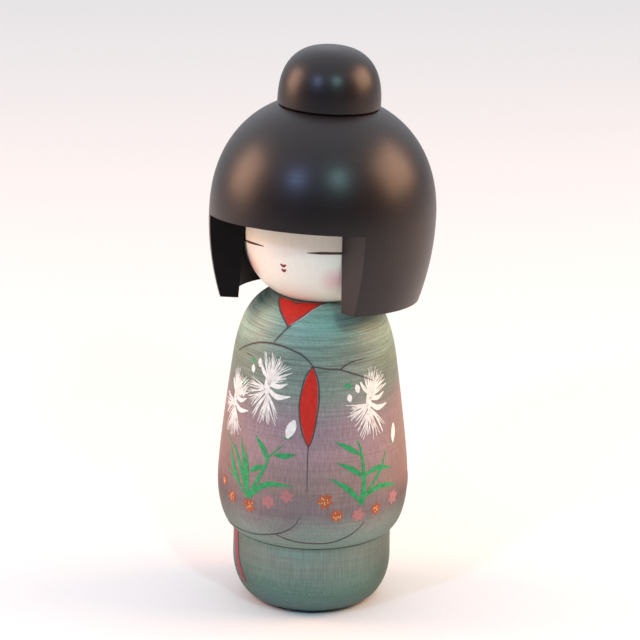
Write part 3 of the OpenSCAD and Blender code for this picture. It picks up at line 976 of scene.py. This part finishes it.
# %% Green leaves
BLADE = (0.8, 1.8, 2.4, 2.1, 1.2, 0.2)
THIN_BLADE = (0.7, 1.1, 1.4, 1.0, 0.2)
STEM = (2.6, 1.8, 1.3, 0.6)
GRASS = [
    ([(-13.1, 53.8), (-25.5, 70.3), (-39.5, 76.5)], THIN_BLADE),
    ([(-13.3, 54.8), (-15.2, 66.5), (-18.4, 75.5)], THIN_BLADE),
    ([(-13.2, 55.0), (-20.3, 65.5), (-29.0, 74.3)], THIN_BLADE),
    ([(-14.5, 54.5), (-24.4, 60.4), (-35.5, 63.8)], THIN_BLADE),
    ([(-13.1, 53.6), (-6.8, 62.8), (-1.0, 70.9), (-0.3, 75.0)], STEM),
    ([(-0.6, 72.0), (-4.2, 77.0), (-11.4, 81.8)], BLADE),
    ([(0.4, 74.0), (5.3, 77.4), (10.1, 80.4)], (0.6, 0.6, 0.2)),
    ([(3.9, 75.2), (11.0, 75.3), (17.9, 76.4)], BLADE),
    ([(-13.6, 55.0), (-17.0, 66.0), (-23.5, 78.5)], BLADE),
    ([(-22.0, 60.0), (-29.5, 66.5), (-33.0, 72.5)], BLADE),
    ([(-13.1, 65.8), (-6.8, 68.4), (-0.8, 69.6)], BLADE),
    ([(-11.8, 54.8), (-0.5, 61.8), (16.5, 62.8)], BLADE),
    ([(58.9, 54.6), (49.6, 61.6), (39.1, 66.2)], BLADE),
    ([(59.3, 53.4), (61.5, 65.4), (59.8, 77.1), (57.7, 81.4)], STEM),
    ([(62.1, 64.9), (53.0, 69.6), (43.4, 73.0)], BLADE), ([(59.4, 75.2), (50.1, 79.3), (42.6, 81.9)], BLADE),
    ([(62.0, 65.8), (71.3, 67.8), (84.9, 66.0)], BLADE), ([(61.2, 56.8), (73.5, 59.6), (89.4, 57.4)], BLADE),
    ([(62.0, 57.6), (70.0, 63.2), (76.0, 68.0), (80.0, 74.2)], THIN_BLADE),
    # the tuft on the back, drawn in the same way
    ([(168, 53.6), (172, 66.0), (170, 78.5)], STEM), ([(168, 55.0), (158, 63.0), (147, 66.5)], BLADE),
    ([(169, 56.0), (181, 61.5), (194, 61.0)], BLADE), ([(171, 66.5), (161, 71.5), (152, 74.0)], BLADE),
    ([(171, 66.0), (180, 70.5), (190, 70.0)], BLADE),
]
green_strokes = [body_stroke(line, widths) for line, widths in GRASS]
CUPS = [(12.4, 83.4, 3.6, 1.6, -70), (87.9, 76.9, 2.8, 1.4, -70), (-19.7, 112.6, 2.4, 1.6, 60),
        (-26.2, 101.6, 3.0, 1.9, -60), (52.5, 105.1, 2.8, 2.2, 60)]
green_strokes += [dab(*cup) for cup in CUPS]
paint_piece("green_leaves", green_strokes, leaf_paint, 0.10, "kimono")

# %% [markdown]
# ## Small blossoms
# A band of small blossoms lies along the foot of the grasses. Each is a ring of short dabs, dotted with
# pale yellow; some are only a thin wash of pink.

# %% Orange and pink blossoms
OPENED = 1.25  # how much wider a ring is drawn than its listed reach
DOT_TURN_R = 40  # the body's radius where the blossoms are, near enough for spreading the dots


def blossom(turn, z, reach, petals, width):
    """A ring of short dabs about a middle."""
    s0 = outline_length(z)
    start = hand.uniform(0, 360)
    made = []
    reach *= OPENED
    for k in range(petals):
        angle = start + 360 * k / petals + hand.uniform(-8, 8)
        x, y = reach * 0.55 * math.cos(math.radians(angle)), reach * 0.55 * math.sin(math.radians(angle))
        here = turn + math.degrees(x / body_radius(s0))
        made.append(dab(here, float(np.interp(s0 + y, side_s, side_z)), reach * 0.95, width, angle - 90))
    return made


ORANGE = [(-38.0, 56.3, 1.7), (-27.9, 51.6, 2.3), (-12.4, 50.8, 2.7), (36.2, 56.5, 2.9), (43.4, 49.8, 2.4),
          (70.2, 50.1, 2.2), (118, 52.5, 2.5), (133, 55.5, 2.2), (205, 51.0, 2.6), (222, 55.0, 2.2),
          (262, 51.5, 2.5)]
PINK = [(1.5, 54.5, 2.4), (13.1, 58.0, 2.3), (57.4, 48.9, 2.5), (85.4, 52.4, 2.6), (148, 50.5, 2.4),
        (238, 50.5, 2.4)]
orange_strokes, pink_strokes, dots = [], [], []
for turn, z, reach in ORANGE:
    orange_strokes += blossom(turn, z, reach, 7, 1.4)
    for k in range(8):
        a = hand.uniform(0, math.tau)
        d = reach * hand.uniform(0.15, 0.8)
        dot_turn = turn + math.degrees(d * math.cos(a) / DOT_TURN_R)
        dots.append(dab(dot_turn, z + d * math.sin(a), 0.75, 0.65, 0))
for turn, z, reach in PINK:
    pink_strokes += blossom(turn, z, reach, 6, 2.1)
paint_piece("orange_blossoms", orange_strokes, orange_paint, 0.10, "kimono")
paint_piece("pink_blossoms", pink_strokes, pink_paint, 0.08, "kimono")
paint_piece("blossom_dots", dots, yellow_paint, 0.16, "kimono")

# %% [markdown]
# ## Eyes and mouth
# The eyes are two long closed lids, each a single stroke that lands thin near the middle and ends under
# the hair. The mouth is two tiny marks of red, one over the other.

# %% Face brushwork
def face_stroke(points, widths, spacing=0.8):
    """A brush stroke on the face through (turn, height above the rim) places."""
    return stroke(points, widths, face_radius, on_face, spacing)


right_lid = [(-18.1, 24.9), (-26.0, 24.7), (-36.0, 24.2), (-50.3, 23.4), (-58, 23.0)]
left_lid = [(18.5, 25.5), (31.3, 25.9), (44.8, 26.0), (52, 26.0), (58, 25.9)]
paint_piece("eye_lines", [
    face_stroke(right_lid, (0.3, 0.9, 1.0, 0.8, 0.4)), face_stroke(left_lid, (0.3, 1.1, 1.0, 0.8, 0.4))],
    eye_ink, 0.10, "head")
paint_piece("mouth", [
    face_stroke([(-2.9, 18.9), (-0.4, 18.2), (2.1, 18.9)], (0.5, 1.3, 0.5), 0.4),
    face_stroke([(-2.4, 16.7), (-0.4, 16.0), (1.6, 16.7)], (0.5, 1.5, 0.5), 0.4)],
    crimson_paint, 0.10, "head")
